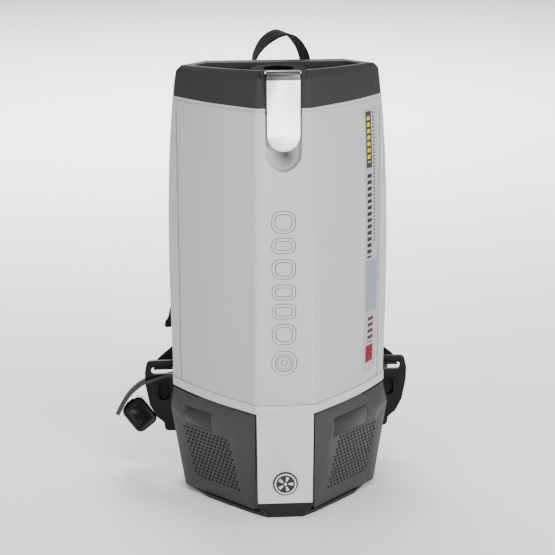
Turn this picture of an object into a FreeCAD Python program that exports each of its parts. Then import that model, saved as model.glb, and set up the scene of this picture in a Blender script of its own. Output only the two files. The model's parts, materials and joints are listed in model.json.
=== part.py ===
"""Backpack vacuum cleaner, modelled in millimetres.

The origin is the centre of the base's flat underside. +Z is up, +X is the machine's side that lies to the
right when its front panel is faced, and the front faces -Y. The wearer's back is on the +Y side.
"""
import FreeCAD, Part
import math
import os

V = FreeCAD.Vector

# ---------------------------------------------------------------- driving dimensions
BASE_TOP = 6.0            # top of the base plate under the exhaust covers
PANEL_BOTTOM = 21.3       # lower edge of the front panel
FLANGE_BOTTOM = 141.0     # underside of the housing's flange
SEAM_Z = 152.0            # joint between motor housing and canister
WIDEST_Z = 330.0          # height at which the canister is widest
CANISTER_TOP = 520.5      # rim of the canister
CAP_BOTTOM = 521.0
CAP_SHOULDER = 555.4      # where the cap's side turns into its chamfer
CAP_TOP = 564.4
CAP_FLOOR = 550.0         # floor of the recess in the cap
CAP_RIM = 17.5            # width of the rim around that recess
WALL = 3.0                # wall of the moulded shells
BACK_Y = 62.0             # flat back of the machine
HALF_WIDTH = 139.6        # half the canister's largest width
SIDE_SWELL = 9.5          # how far the slanted front sides stand out from flat

PORT = V(0, -22, 0)       # vertical axis of the hose port
PORT_R = 19.0             # inside radius of the hose port, for a 38 mm hose cuff
CUFF_NECK_R = 23.5
CUFF_FLANGE_R = 36.0
CUFF_BOTTOM = 500.5
CUFF_TOP = 556.5

MOTOR = V(0, -12, 0)      # vertical axis of the fan motor
SHAFT_R = 4.0
RUN = 0.05                # radial running clearance of shafts and pins
GAP = 0.4                 # clearance between neighbouring mouldings

WALL_ANGLE = 47.75        # plan angle of the slanted exhaust walls
POCKET_D = 90.0           # distance of the exhaust pocket wall from the origin's vertical axis
COVER_BASE_D = 96.7       # the same for the cover's outer face at its bottom edge
COVER_LEAN = 0.151        # outward lean of that face
RIDGE_Z = 115.0           # height of the cover's ridge
COVER_BOTTOM = 6.9
COVER_TOP = 139.5
COVER_SKIN = 2.6
COVER_END_Y = 19.0        # where the covers end on the machine's sides
HOLE_R = 1.9              # exhaust perforations
HOLE_PITCH = 6.9
ROW_PITCH = 5.15
FIELD_ROWS = 14
FIELD_COLUMNS = 12
FIELD_LOW = 21.5          # first row above the face's bottom edge
FIELD_START = -8.0        # first hole along the face
FIELD_LEAN = 0.69         # sideways shift from row to row
TAB_UP = (93.0, 117.5)    # the release tabs' band up the cover's face
TAB_RIGHT = (-12.0, 58.0)     # the tabs' ranges along the face
TAB_LEFT = (29.0, 78.0)
TOP_STEP = (66.0, 104.0)  # where the cover's top edge stands higher
TOP_DROP = 1.2

PLATE_Y = BACK_Y + 1.2    # front face of the harness backplate
PLATE_T = 5.0
PAD_Y = PLATE_Y + PLATE_T + 0.3   # front of the pads that lie on the backplate
STRAP_T = 2.4             # thickness of the webbing


# ---------------------------------------------------------------- outlines and solids
def closed_wire(points, z=0.0):
    """A polygon of (x, y) points at height z."""
    corners = [V(x, y, z) for x, y in points]
    return Part.makePolygon(corners + corners[:1])


def prism(points, z0, z1):
    return Part.Face(closed_wire(points, z0)).extrude(V(0, 0, z1 - z0))


def frustum(lower, z0, upper, z1):
    return Part.makeLoft([closed_wire(lower, z0), closed_wire(upper, z1)], True, True)


def rounded_wire(points, radii, z):
    """A counter-clockwise polygon whose corners are rounded by tangent arcs."""
    edges = []
    ends = []
    count = len(points)
    for i, radius in enumerate(radii):
        corner = V(points[i][0], points[i][1], z)
        back = V(points[i - 1][0], points[i - 1][1], z) - corner
        ahead = V(points[(i + 1) % count][0], points[(i + 1) % count][1], z) - corner
        back.normalize()
        ahead.normalize()
        half = back.getAngle(ahead) / 2
        reach = radius / math.tan(half)
        inward = back + ahead
        inward.normalize()
        centre = corner + inward * (radius / math.sin(half))
        ends.append((corner + back * reach, centre - inward * radius, corner + ahead * reach))
    for i in range(count):
        start, middle, end = ends[i]
        edges.append(Part.Arc(start, middle, end).toShape())
        edges.append(Part.LineSegment(end, ends[(i + 1) % count][0]).toShape())
    return Part.Wire(edges)


def offset_points(points, inset):
    """Moves every side of a counter-clockwise polygon inwards by inset."""
    moved = []
    count = len(points)
    for i in range(count):
        a, b, c = (V(*points[j % count], 0) for j in (i - 1, i, i + 1))
        before = (b - a).normalize()
        after = (c - b).normalize()
        normal_before = V(-before.y, before.x, 0)
        normal_after = V(-after.y, after.x, 0)
        shift = (normal_before + normal_after) * (inset / (1 + normal_before.dot(normal_after)))
        moved.append((b.x + shift.x, b.y + shift.y))
    return moved


def body_half_width(z):
    fall = 8.2e-5 if z < WIDEST_Z else 2.6e-4
    return HALF_WIDTH - fall * (z - WIDEST_Z) ** 2


def body_wire(z, inset=0.0, outline_z=None):
    """The body's rounded outline at height z: a front facet, two swelling slanted sides and a flat back."""
    level = z if outline_z is None else outline_z
    climb = (level - SEAM_Z) / (CANISTER_TOP - SEAM_Z)
    facet = V(35.5 - 3.0 * climb, -122 + 10 * climb, 0)
    side = V(body_half_width(level), 8 - 9 * climb, 0)
    chord = side - facet
    outward = V(chord.y, -chord.x, 0).normalize()
    swell = facet + chord * 0.6 + outward * SIDE_SWELL
    half = [facet, swell, side, V(side.x, BACK_Y, 0)]
    right = [(p.x, p.y) for p in half]
    left = [(-p.x, p.y) for p in reversed(half)]
    points = offset_points(left[-1:] + right + left[:-1], inset)
    turn = (swell - facet).getAngle(side - swell)
    swell_r = 0.34 * chord.Length / math.tan(turn / 2)
    corner = [max(r - inset, 2.0) for r in (10, swell_r, 8, 16)]
    return rounded_wire(points, [corner[0]] + corner + corner[:0:-1], z)


def body_loft(z0, z1, inset=0.0, steps=4):
    levels = [z0 + (z1 - z0) * i / steps for i in range(steps + 1)]
    return Part.makeLoft([body_wire(z, inset) for z in levels], True, False)


def box(x0, y0, z0, x1, y1, z1):
    return Part.makeBox(x1 - x0, y1 - y0, z1 - z0, V(x0, y0, z0))


def cylinder(centre, radius, z0, z1):
    return Part.makeCylinder(radius, z1 - z0, V(centre.x, centre.y, z0))


def tube(centre, outer, inner, z0, z1):
    return cylinder(centre, outer, z0, z1).cut(cylinder(centre, inner, z0 - 1, z1 + 1))


def rod_x(y, z, radius, x0, x1):
    return Part.makeCylinder(radius, x1 - x0, V(x0, y, z), V(1, 0, 0))


def rod_y(x, z, radius, y0, y1):
    return Part.makeCylinder(radius, y1 - y0, V(x, y0, z), V(0, 1, 0))


def mirrored(shape):
    return shape.mirror(V(0, 0, 0), V(1, 0, 0))


def fuse(first, *others):
    return first.fuse(list(others)).removeSplitter()


def wall_points(distance, x0, x1):
    """Two plan points of the right-hand slanted wall plane, at x0 and x1."""
    a = math.radians(WALL_ANGLE)
    return [(x, (x * math.sin(a) - distance) / math.cos(a)) for x in (x0, x1)]


def save(name, shape):
    if not shape.isValid() or not shape.Solids:
        raise ValueError(f"{name} is not a valid solid")
    if len(shape.Solids) == 1:
        shape = shape.Solids[0]
    shape.exportStep(os.path.join("parts", f"{name}.step"))
    print(f"{name}: {len(shape.Solids)} solid(s), {shape.Volume / 1000:.1f} cm3")


# ---------------------------------------------------------------- canister
def latch_slot(half_width, y0, y1, z_low, z_top):
    """A vertical slot with a round lower end, cut along Y."""
    slot = box(-half_width, y0, z_low + half_width, half_width, y1, z_top)
    return slot.fuse(rod_y(0, z_low + half_width, half_width, y0, y1))


def canister():
    outer = body_loft(SEAM_Z + GAP, CANISTER_TOP)
    shell = outer.cut(body_loft(SEAM_Z - 4, CANISTER_TOP + 4, WALL))
    boss = box(-29, -116, 438, 29, -101, CANISTER_TOP - 8).common(outer)
    shell = shell.fuse(boss)
    shell = shell.cut(latch_slot(LATCH_RECESS_HALF, -130, -107, 445, 540))
    finger = Part.makeSphere(17, V(0, -120.5, 459))
    shell = shell.cut(finger)
    bead_line = body_loft(516, 517.5, -4, 1).cut(body_loft(515, 518.5, 0.9, 1))
    shell = shell.cut(bead_line)
    for side in (-1, 1):
        slab = box(126.4, -60, SEAM_Z, 127.6, 20, 505)
        slab = slab if side > 0 else mirrored(slab)
        groove = slab.common(outer).cut(body_loft(SEAM_Z - 4, CANISTER_TOP + 4, 0.8))
        shell = shell.cut(groove)
    for x, z in PLATE_SCREWS:
        shell = shell.cut(rod_y(x, z, 2.05, BACK_Y - 20, BACK_Y + 20))
    return shell


# ---------------------------------------------------------------- motor housing and base
PLATE_SCREWS = [(x, z) for x in (-55, 55) for z in (215, 440)]
BASE_SCREWS = [(-116, 54.5), (116, 54.5), (-28, -99.5), (28, -99.5)]


def housing_points(front_y, front_half, side_half, inset=0.0):
    pocket = wall_points(POCKET_D, front_half, 112)
    right = [(front_half, front_y)] + pocket + [(112, 20), (side_half, 20), (side_half, BACK_Y)]
    left = [(-x, y) for x, y in reversed(right)]
    return offset_points(right + left, inset)


def motor_housing():
    low = (-118, 34, 122.5)
    high = (-121.4, 35.5, 136)
    walls = frustum(housing_points(*low), BASE_TOP, housing_points(*high), FLANGE_BOTTOM)
    walls = walls.cut(frustum(housing_points(*low, WALL), BASE_TOP - 1,
                              housing_points(*high, WALL), FLANGE_BOTTOM + 1))
    walls = walls.cut(box(-60, -140, 0, 60, -97, PANEL_BOTTOM))
    walls = walls.cut(box(-200, 19.5, 0, 200, 100, 22))
    flange = Part.makeLoft([body_wire(z, -1.0, SEAM_Z) for z in (FLANGE_BOTTOM, SEAM_Z)], True, True)
    cavity = Part.makeLoft([body_wire(z, WALL, SEAM_Z) for z in (144.5, SEAM_Z + 1)], True, True)
    duct = prism(housing_points(*high, WALL + 0.5), FLANGE_BOTTOM - 1, 146)
    housing = fuse(walls, flange.cut(cavity)).cut(duct)
    normal_x = math.sin(math.radians(WALL_ANGLE))
    normal_y = -math.cos(math.radians(WALL_ANGLE))
    along = V(-normal_y, normal_x, 0)
    for column in (-1, 0, 1):
        for low_z in (40, 76):
            middle = V(POCKET_D * normal_x, POCKET_D * normal_y, low_z) + along * (column * 23 - 4)
            window = Part.makeBox(16, 18, 28, V(-8, -9, 0))
            window.rotate(V(0, 0, 0), V(0, 0, 1), WALL_ANGLE)
            window.translate(middle)
            housing = housing.cut([window, mirrored(window)])
    for x, y in BASE_SCREWS:
        boss = cylinder(V(x, y, 0), 5.5, 22, 44)
        boss = boss.common(frustum(housing_points(*low), BASE_TOP, housing_points(*high), FLANGE_BOTTOM))
        housing = housing.fuse(boss).cut(cylinder(V(x, y, 0), 2.05, 10, 40))
    housing = housing.cut(rod_y(0, 48, 15.6, -125, -117.6))
    return housing.cut(rod_y(96, 44, 8.0, BACK_Y - 6, BACK_Y + 4))


def base_plate():
    foot = [(22.5, -112), (40, -97), (71, -64.5), (95, -38), (121, 12), (121, BACK_Y)]
    head = [(24, -114), (42, -99), (73, -66), (98, -38.5), (123.5, 12), (123.5, BACK_Y)]
    both = [pts + [(-x, y) for x, y in reversed(pts)] for pts in (foot, head)]
    plate = frustum(both[0], 0, both[1], BASE_TOP)
    band_low = [(-23.5, -113), (23.5, -113), (34, -103), (34, -97.6), (-34, -97.6), (-34, -103)]
    band_high = [(-34, -118), (34, -118), (34, -104), (34, -97.6), (-34, -97.6), (-34, -104)]
    band = frustum(band_low, 3, band_high, PANEL_BOTTOM - GAP)
    rear = prism([(-122.5, 20.2), (122.5, 20.2), (122.5, BACK_Y), (-122.5, BACK_Y)], 3, 21.6)
    rear = rear.cut(prism([(-105, 24), (105, 24), (105, BACK_Y - 6), (-105, BACK_Y - 6)], BASE_TOP, 30))
    base = fuse(plate, band, rear)
    post = tube(MOTOR, 16, 12, BASE_TOP - 1, 24)
    base = fuse(base, post)
    for x, y in BASE_SCREWS:
        boss = cylinder(V(x, y, 0), 5.5, BASE_TOP - 1, 20.9)
        if y < 0:
            boss = boss.common(box(-60, -140, 0, 60, -97.6, 30))
        base = base.fuse(boss)
        base = base.cut(cylinder(V(x, y, 0), 2.3, -1, 30))
        base = base.cut(cylinder(V(x, y, 0), 4.5, -1, 3.4))
    return base.removeSplitter()


def base_screws():
    screws = []
    for x, y in BASE_SCREWS:
        head = cylinder(V(x, y, 0), 4.0, 0.6, 3.3)
        screws.append(head.fuse(cylinder(V(x, y, 0), 2.0, 3.3, 38)))
    return Part.makeCompound(screws)


def housing_gasket():
    outer = Part.makeLoft([body_wire(z, 1.0, SEAM_Z) for z in (SEAM_Z, SEAM_Z + GAP)], True, True)
    inner = Part.makeLoft([body_wire(z, 2.8, SEAM_Z) for z in (SEAM_Z - 1, SEAM_Z + 2)], True, True)
    return outer.cut(inner)


def front_badge():
    badge = rod_y(0, 48, 15.2, -121.4, -117.7)
    return badge.makeFillet(0.8, [e for e in badge.Edges if e.BoundBox.YMax < -121])


def cord_gland():
    gland = rod_y(96, 44, 7.9, BACK_Y - 4, BACK_Y + 0.2).fuse(rod_y(96, 44, 10, BACK_Y + 0.2, BACK_Y + 5))
    gland = gland.fuse(Part.makeCone(8, 6, 11, V(96, BACK_Y + 5, 44), V(0, 1, 0)))
    return gland.cut(rod_y(96, 44, 4.2, BACK_Y - 5, BACK_Y + 20)).removeSplitter()


# ---------------------------------------------------------------- fan motor
def motor_parts():
    shaft = cylinder(MOTOR, SHAFT_R, 26, 134)
    yield "armature_shaft", shaft
    yield "armature_core", tube(MOTOR, 21, SHAFT_R, 56, 84)
    yield "commutator", tube(MOTOR, 12, SHAFT_R, 40, 50)
    yield "field_core", tube(MOTOR, 37.8, 22, 54, 86)
    frame = cylinder(MOTOR, 40, 30, 95).cut(cylinder(MOTOR, 37.8, 32.5, 92.5))
    frame = frame.cut(cylinder(MOTOR, 9, 20, 100))
    yield "motor_frame", frame
    bearings = [tube(MOTOR, 9, SHAFT_R + RUN, z, z + 7) for z in (29, 89)]
    yield "motor_bearings", Part.makeCompound(bearings)
    brush = box(12.4, MOTOR.y - 3, 42, 34, MOTOR.y + 3, 48)
    yield "carbon_brushes", Part.makeCompound([brush, mirrored(brush)])
    bush = tube(MOTOR, 20, 11, 24, 30).cut(cylinder(MOTOR, 9.2, 20, 31))
    yield "motor_bush", bush
    fan = cylinder(MOTOR, 62, 96, 138).cut(cylinder(MOTOR, 60, 98, 136))
    fan = fan.cut(cylinder(MOTOR, 22, 130, 140)).cut(cylinder(MOTOR, 9.5, 90, 100))
    for i in range(12):
        port = box(50, -6, 106, 70, 6, 128)
        port.rotate(V(0, 0, 0), V(0, 0, 1), 30 * i)
        port.translate(MOTOR)
        fan = fan.cut(port)
    yield "fan_housing", fan
    wheel = fuse(tube(MOTOR, 54, SHAFT_R, 104, 106), tube(MOTOR, 10, SHAFT_R, 104, 126),
                 tube(MOTOR, 54, 24, 128, 129.5))
    vanes = []
    for i in range(9):
        vane = box(12, -0.8, 105.5, 53, 0.8, 128.5)
        vane.rotate(V(12, 0, 0), V(0, 0, 1), 24)
        vane.rotate(V(0, 0, 0), V(0, 0, 1), 40 * i)
        vane.translate(MOTOR)
        vanes.append(vane.common(cylinder(MOTOR, 53.5, 100, 130)))
    yield "impeller", fuse(wheel, *vanes)
    yield "motor_gasket", tube(MOTOR, 58, 44, 138, 145.2)
    bulkhead = Part.makeLoft([body_wire(z, WALL + 0.4, SEAM_Z) for z in (145.2, 148.8)], True, True)
    bulkhead = bulkhead.cut(cylinder(MOTOR, 24, 140, 152))
    bars = [box(-24.5, MOTOR.y + y - 1, 145.2, 24.5, MOTOR.y + y + 1, 148.8) for y in (-12, 0, 12)]
    yield "motor_bulkhead", fuse(bulkhead, *bars)


# ---------------------------------------------------------------- filters
def dome_filter():
    outer = Part.makeSphere(70, V(MOTOR.x, MOTOR.y, 125))
    inner = Part.makeSphere(66, V(MOTOR.x, MOTOR.y, 125))
    return outer.cut(inner).common(cylinder(MOTOR, 80, 149.2, 210))


def cloth_filter():
    """A cloth sleeve that hangs in the canister from a stiff collar."""
    sleeve = body_loft(204, 508, 14)
    collar = body_loft(505, 511, 6, 1)
    collar = collar.cut(box(-34, -140, 500, 34, -100.5, 514))
    return sleeve.fuse(collar).cut(body_loft(206, 515, 15.6))


def filter_bag():
    bag = body_loft(214, 498, 20).cut(body_loft(215.2, 496.8, 21.2))
    return bag.cut(cylinder(PORT, 25, 490, 500))


def exhaust_filter():
    """The right-hand cartridge, flat against the pocket wall."""
    near = wall_points(POCKET_D + 0.4, 44, 102)
    far = wall_points(POCKET_D + 6.6, 48.6, 106)
    core = prism([far[0], far[1], near[1], near[0]], 33, 110)
    pleats = []
    a = math.radians(WALL_ANGLE)
    along = V(math.cos(a), math.sin(a), 0)
    start = V(far[0][0], far[0][1], 36)
    for i in range(12):
        rib = Part.makeCylinder(1.2, 71, start + along * (5 + 6.6 * i), V(0, 0, 1))
        pleats.append(rib)
    return core.cut(pleats)


# ---------------------------------------------------------------- exhaust covers
def half_space(normal, distance, size=600):
    """A large block filling the side of a plane that the normal points away from."""
    n = V(normal)
    n.normalize()
    block = Part.makeBox(size, size, size, V(-size / 2, -size / 2, -size))
    block.Placement = FreeCAD.Placement(n * distance, FreeCAD.Rotation(V(0, 0, 1), n))
    return block


def tilted(angle, lean, distance, z):
    """Normal and distance of a wall plane: plan angle, outward lean per mm of height, distance at height z."""
    a = math.radians(angle)
    normal = V(math.sin(a), -math.cos(a), -lean)
    return normal, (distance - lean * z) / normal.Length


def cover_form(inset):
    """The right cover's outer form, with every visible face moved inwards by inset."""
    planes = [
        tilted(WALL_ANGLE, COVER_LEAN, COVER_BASE_D, 7.0),
        tilted(WALL_ANGLE, -0.25, COVER_BASE_D + COVER_LEAN * (RIDGE_Z - 7.0), RIDGE_Z),
        tilted(58, 0.128, 108.0, 7.0),
        tilted(58, -0.34, 121.8, RIDGE_Z),
        tilted(90, 0.161, 124.0, 7.0),
        tilted(90, -0.2, 141.0, RIDGE_Z),
        (V(0.5466, -0.829, -0.1167), 103.95),
        (V(-1, 0, 0), -37.3 + (2.0 if inset else 0.0)),
        (V(0, 1, 0), COVER_END_Y),
        (V(0, 0, 1), COVER_TOP),
        (V(0, 0, -1), -COVER_BOTTOM),
    ]
    form = box(20, -140, 0, 160, 40, 160)
    for i, (normal, distance) in enumerate(planes):
        cut_back = inset if i != 7 else 0.0
        form = form.common(half_space(normal, distance - cut_back))
    return form


def pocket_core(extra):
    pocket = wall_points(POCKET_D + extra, 20, 112 + extra)
    return prism([pocket[0], pocket[1], (112 + extra, 60), (20, 60)], 0, 160)


def face_frame():
    """Origin and directions of the perforated face: along it, up it and out of it."""
    a = math.radians(WALL_ANGLE)
    out = V(math.sin(a), -math.cos(a), -COVER_LEAN).normalize()
    along = V(math.cos(a), math.sin(a), 0)
    up = out.cross(along).normalize()
    up = up if up.z > 0 else up * -1
    foot = wall_points(COVER_BASE_D, 60, 60)[0]
    return V(foot[0], foot[1], 7.0), along, up, out


def face_block(along_range, up_range, out_range):
    """A block lined up with the perforated face."""
    foot, along, up, out = face_frame()
    start = foot + along * along_range[0] + up * up_range[0] + out * out_range[0]
    width = along * (along_range[1] - along_range[0])
    height = up * (up_range[1] - up_range[0])
    base = Part.makePolygon([start, start + width, start + width + height, start + height, start])
    return Part.Face(base).extrude(out * (out_range[1] - out_range[0]))


def perforations():
    foot, along, up, out = face_frame()
    holes = []
    for row in range(FIELD_ROWS):
        rise = FIELD_LOW + row * ROW_PITCH
        shift = FIELD_START + FIELD_LEAN * row + (HOLE_PITCH / 2 if row % 2 else 0)
        for column in range(FIELD_COLUMNS):
            centre = foot + up * rise + along * (shift + column * HOLE_PITCH)
            holes.append(Part.makeCylinder(HOLE_R, 9, centre - out * 6, out))
    return Part.makeCompound(holes)


def tab_block(tab_range, extra):
    low, high = TAB_UP
    return face_block((tab_range[0] - extra, tab_range[1] + extra), (low - extra, high + extra), (-25, 15))


def exhaust_cover(tab_range):
    """The right-hand cover, with an opening for a release tab over part of the ridge."""
    cover = cover_form(0.0)
    for x0, x1 in ((20, TOP_STEP[0]), (TOP_STEP[1], 180)):
        cover = cover.cut(box(x0, -150, COVER_TOP - TOP_DROP, x1, 60, 160))
    cover = cover.cut(cover_form(COVER_SKIN)).cut(pocket_core(0.4)).cut(perforations())
    cover = cover.cut(pocket_core(2.4).common(box(0, -200, 0, 200, 100, 17)))
    return cover.cut(tab_block(tab_range, 0.35))


def release_tab(tab_range):
    return cover_form(0.0).common(tab_block(tab_range, 0.0)).cut(cover_form(3.2))


# ---------------------------------------------------------------- cap, cuff and latch
LATCH_PIVOT = V(0, -103, 561.5)
LATCH_HALF = 19.8
LATCH_RECESS_HALF = 21.8   # half the width of the canister's hollow around the latch


# A slanted face that cuts the cap's rear corner: two points along the top and one at the foot.
CAP_CORNER = (V(122, -4, 557), V(94, 46, 556), V(126, 58, 523))


def inside_corners(shape, inset):
    """Keeps what lies inside the cap's two slanted rear corner faces, moved inwards by inset."""
    a, b, c = CAP_CORNER
    normal = (a - b).cross(c - b).normalize()
    for side in (-1, 1):
        outward = V(side * normal.x, normal.y, normal.z)
        start = V(side * a.x, a.y, a.z)
        shape = shape.common(half_space(outward, outward.dot(start) - inset, 900))
    return shape


def inside_rim(shape):
    """Keeps the part of the recess that leaves the rim its full width along the cut corners."""
    a, b, _ = CAP_CORNER
    run = (b - a).normalize()
    for side in (-1, 1):
        outward = V(side * run.y, -run.x, 0).normalize()
        start = V(side * a.x, a.y, 0)
        shape = shape.common(half_space(outward, outward.dot(start) - CAP_RIM, 1400))
    return shape


def cap_shell():
    rings = [body_wire(CAP_BOTTOM, 0.2, CANISTER_TOP), body_wire(CAP_SHOULDER, 4.0, CANISTER_TOP),
             body_wire(CAP_TOP + 1.5, 14.5, CANISTER_TOP)]
    cap = Part.makeLoft(rings, True, True)
    slope = Part.makePolygon([V(-200, y, z) for y, z in
                              ((-140, 566.0), (90, 554.3), (90, 620), (-140, 620), (-140, 566.0))])
    cap = inside_corners(cap.cut(Part.Face(slope).extrude(V(400, 0, 0))), 0.0)
    hollow = Part.makeLoft([body_wire(z, i, CANISTER_TOP) for z, i in ((CAP_BOTTOM - 1, 3.2), (546.5, 7.0))],
                           True, True)
    cap = cap.cut(inside_corners(hollow, 4.0))
    recess = Part.makeLoft([body_wire(z, CAP_RIM, CANISTER_TOP) for z in (CAP_FLOOR, 580)], True, True)
    recess = recess.common(box(-200, -200, 540, 200, 23, 600))
    cap = cap.cut(inside_rim(recess))
    skirt = Part.makeLoft([body_wire(z, WALL + 0.5, CANISTER_TOP) for z in (513.5, 524)], True, True)
    skirt = skirt.cut(Part.makeLoft([body_wire(z, WALL + 2.7, CANISTER_TOP) for z in (512, 526)], True, True))
    skirt = skirt.cut(box(-31, -140, 500, 31, -99, CAP_BOTTOM + 0.6))
    cap = fuse(cap, skirt)
    cap = cap.cut(box(-27.5, -130, 556, 27.5, -97.5, 590))
    return cap.cut(cylinder(PORT, CUFF_NECK_R + 0.08, 500, 590))


def cap_gasket():
    outer = Part.makeLoft([body_wire(z, 0.9, CANISTER_TOP) for z in (CANISTER_TOP, CAP_BOTTOM)], True, True)
    inner = Part.makeLoft([body_wire(z, 2.8, CANISTER_TOP) for z in (CANISTER_TOP - 1, CAP_BOTTOM + 1)],
                          True, True)
    return outer.cut(inner).cut(box(-26, -140, 515, 26, -100, 525))


def swivel_cuff():
    flange = tube(PORT, CUFF_FLANGE_R, PORT_R, CAP_FLOOR + 0.3, CUFF_TOP)
    rim = [e for e in flange.Edges if abs(e.BoundBox.ZMin - CUFF_TOP) < 0.01 and e.BoundBox.XMax > 30]
    flange = flange.makeChamfer(1.6, rim)
    neck = tube(PORT, CUFF_NECK_R, PORT_R, CUFF_BOTTOM, CUFF_TOP - 1)
    return fuse(flange, neck)


def latch_bracket():
    floor = box(-26.8, -108, 556.0, 26.8, -98.2, 557.4)
    ears = []
    for x in (-26.8, 22.0):
        ear = box(x, -106.5, 557.0, x + 4.8, -99.5, 561.5)
        ears.append(ear.fuse(rod_x(LATCH_PIVOT.y, LATCH_PIVOT.z, 3.5, x, x + 4.8)))
    bracket = fuse(floor, *ears)
    return bracket.cut(rod_x(LATCH_PIVOT.y, LATCH_PIVOT.z, 2.0, -40, 40))


def latch_lever():
    """A sheet steel tongue that bends over the cap's rim and ends in a half-round grip."""
    py, pz = LATCH_PIVOT.y, LATCH_PIVOT.z
    barrel = rod_x(py, pz, 3.5, -LATCH_HALF, LATCH_HALF)
    front, thick, bend = -115.4, 2.0, 6.0
    top = pz + 3.5
    centre_z = top - bend
    outer = bend
    inner = bend - thick
    centre_y = front + bend
    corner = math.sqrt(0.5)
    edges = [
        Part.LineSegment(V(0, py, top), V(0, centre_y, top)),
        Part.Arc(V(0, centre_y, top), V(0, centre_y - outer * corner, centre_z + outer * corner),
                 V(0, front, centre_z)),
        Part.LineSegment(V(0, front, centre_z), V(0, front, 469)),
        Part.LineSegment(V(0, front, 469), V(0, front + thick, 469)),
        Part.LineSegment(V(0, front + thick, 469), V(0, front + thick, centre_z)),
        Part.Arc(V(0, front + thick, centre_z),
                 V(0, centre_y - inner * corner, centre_z + inner * corner), V(0, centre_y, top - thick)),
        Part.LineSegment(V(0, centre_y, top - thick), V(0, py, top - thick)),
        Part.LineSegment(V(0, py, top - thick), V(0, py, top)),
    ]
    profile = Part.Face(Part.Wire([e.toShape() for e in edges]))
    strip = profile.extrude(V(2 * LATCH_HALF, 0, 0))
    strip.translate(V(-LATCH_HALF, 0, 0))
    blade = latch_slot(LATCH_HALF, -130, -95, 469, 600)
    lever = fuse(strip.common(blade), barrel)
    return lever.cut(rod_x(py, pz, 2.0 + RUN, -40, 40))


def latch_keeper():
    return box(-11, -108.6, 478, 11, -107, 494)


# ---------------------------------------------------------------- harness
def band(stations, width, thickness):
    """A flat strap through stations of (centre, width direction, outward direction)."""
    wires = []
    for centre, across, outward in stations:
        a = V(*across).normalize() * (width / 2)
        o = V(*outward).normalize() * (thickness / 2)
        c = V(*centre)
        corners = [c - a - o, c + a - o, c + a + o, c - a + o]
        wires.append(Part.makePolygon(corners + corners[:1]))
    return Part.makeLoft(wires, True, True)


WING = [(70, 66), (118, 57), (150, 57), (151, 69), (161, 77), (170, 95), (175, 122), (175.5, 139), (172, 155),
        (150, 155.5), (134, 155.8)]
WING_TOP = [(100, 185), (76, 215), (72, 470), (60, 482)]
SLOT_UPPER = (136, 167, 136.8, 146.2)
SLOT_LOWER = (142, 158, 100, 124)


def plate_outline(y):
    right = [V(x, y, z) for x, z in WING + WING_TOP]
    left = [V(-p.x, y, p.z) for p in reversed(right)]
    return Part.makePolygon(right + left + right[:1])


def backplate():
    plate = Part.Face(plate_outline(PLATE_Y)).extrude(V(0, PLATE_T, 0))
    corners = [e for e in plate.Edges if abs(e.BoundBox.YLength - PLATE_T) < 0.01 and e.BoundBox.XLength < 0.01
               and abs(e.BoundBox.XMin) > 125 and e.BoundBox.ZMin < 164]
    plate = plate.makeFillet(6, corners)
    for side in (-1, 1):
        for x0, x1, z0, z1 in (SLOT_UPPER, SLOT_LOWER):
            r = min(x1 - x0, z1 - z0) / 2 - 0.01
            slot = box(x0, PLATE_Y - 5, z0, x1, PLATE_Y + 15, z1)
            slot = slot.makeFillet(r * 0.9, [e for e in slot.Edges if e.BoundBox.YLength > 10])
            plate = plate.cut(slot if side > 0 else mirrored(slot))
    for x, z in PLATE_SCREWS:
        plate = plate.cut(rod_y(x, z, 2.3, PLATE_Y - 5, PLATE_Y + 15))
    return plate


def backplate_screws():
    screws = []
    back = PLATE_Y + PLATE_T
    for x, z in PLATE_SCREWS:
        screws.append(rod_y(x, z, 2.0, BACK_Y - 8, back).fuse(rod_y(x, z, 4.2, back, back + 2.4)))
    return Part.makeCompound(screws)


def rounded_pad(x, y0, y1, z0, z1, radius):
    pad = box(-x, y0, z0, x, y1, z1)
    pad = pad.makeFillet(radius, [e for e in pad.Edges if e.BoundBox.YLength > y1 - y0 - 0.1])
    return pad.makeFillet(5, [e for e in pad.Edges if abs(e.BoundBox.YMin - y1) < 0.01])


SHOULDER_PATH = [
    ((42, 82, 462), (1, 0.1, 0), (0, 1, 0.1)),
    ((60, 106, 440), (1, 0.15, 0), (0, 0.8, 0.6)),
    ((80, 130, 395), (1, 0.2, 0.3), (0.1, 1, 0.2)),
    ((98, 140, 330), (0.9, -0.2, 0.35), (0.3, 1, 0)),
    ((105, 134, 270), (0.9, -0.35, 0.2), (0.4, 1, -0.2)),
    ((112, 123, 228), (0.9, -0.4, 0.1), (0.45, 1, -0.3)),
    ((124, 110, 184), (0.9, -0.4, -0.1), (0.45, 1, -0.4)),
]
LOWER_WEB_PATH = [
    ((112, 97, 172), (0.9, -0.15, 0.45), (0.27, 0.78, -0.27)),
    ((131, 86, 161), (0.94, -0.1, 0.36), (0.23, 0.66, -0.43)),
    ((147, 76, 150), (0.97, 0, 0.2), (0.13, 0.57, -0.63)),
    ((150.5, 69.5, 144.6), (1, 0, 0), (0, 0.3, -0.9)),
    ((150.5, 61, 144.5), (1, 0, 0), (0, 0, -1)),
]
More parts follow.
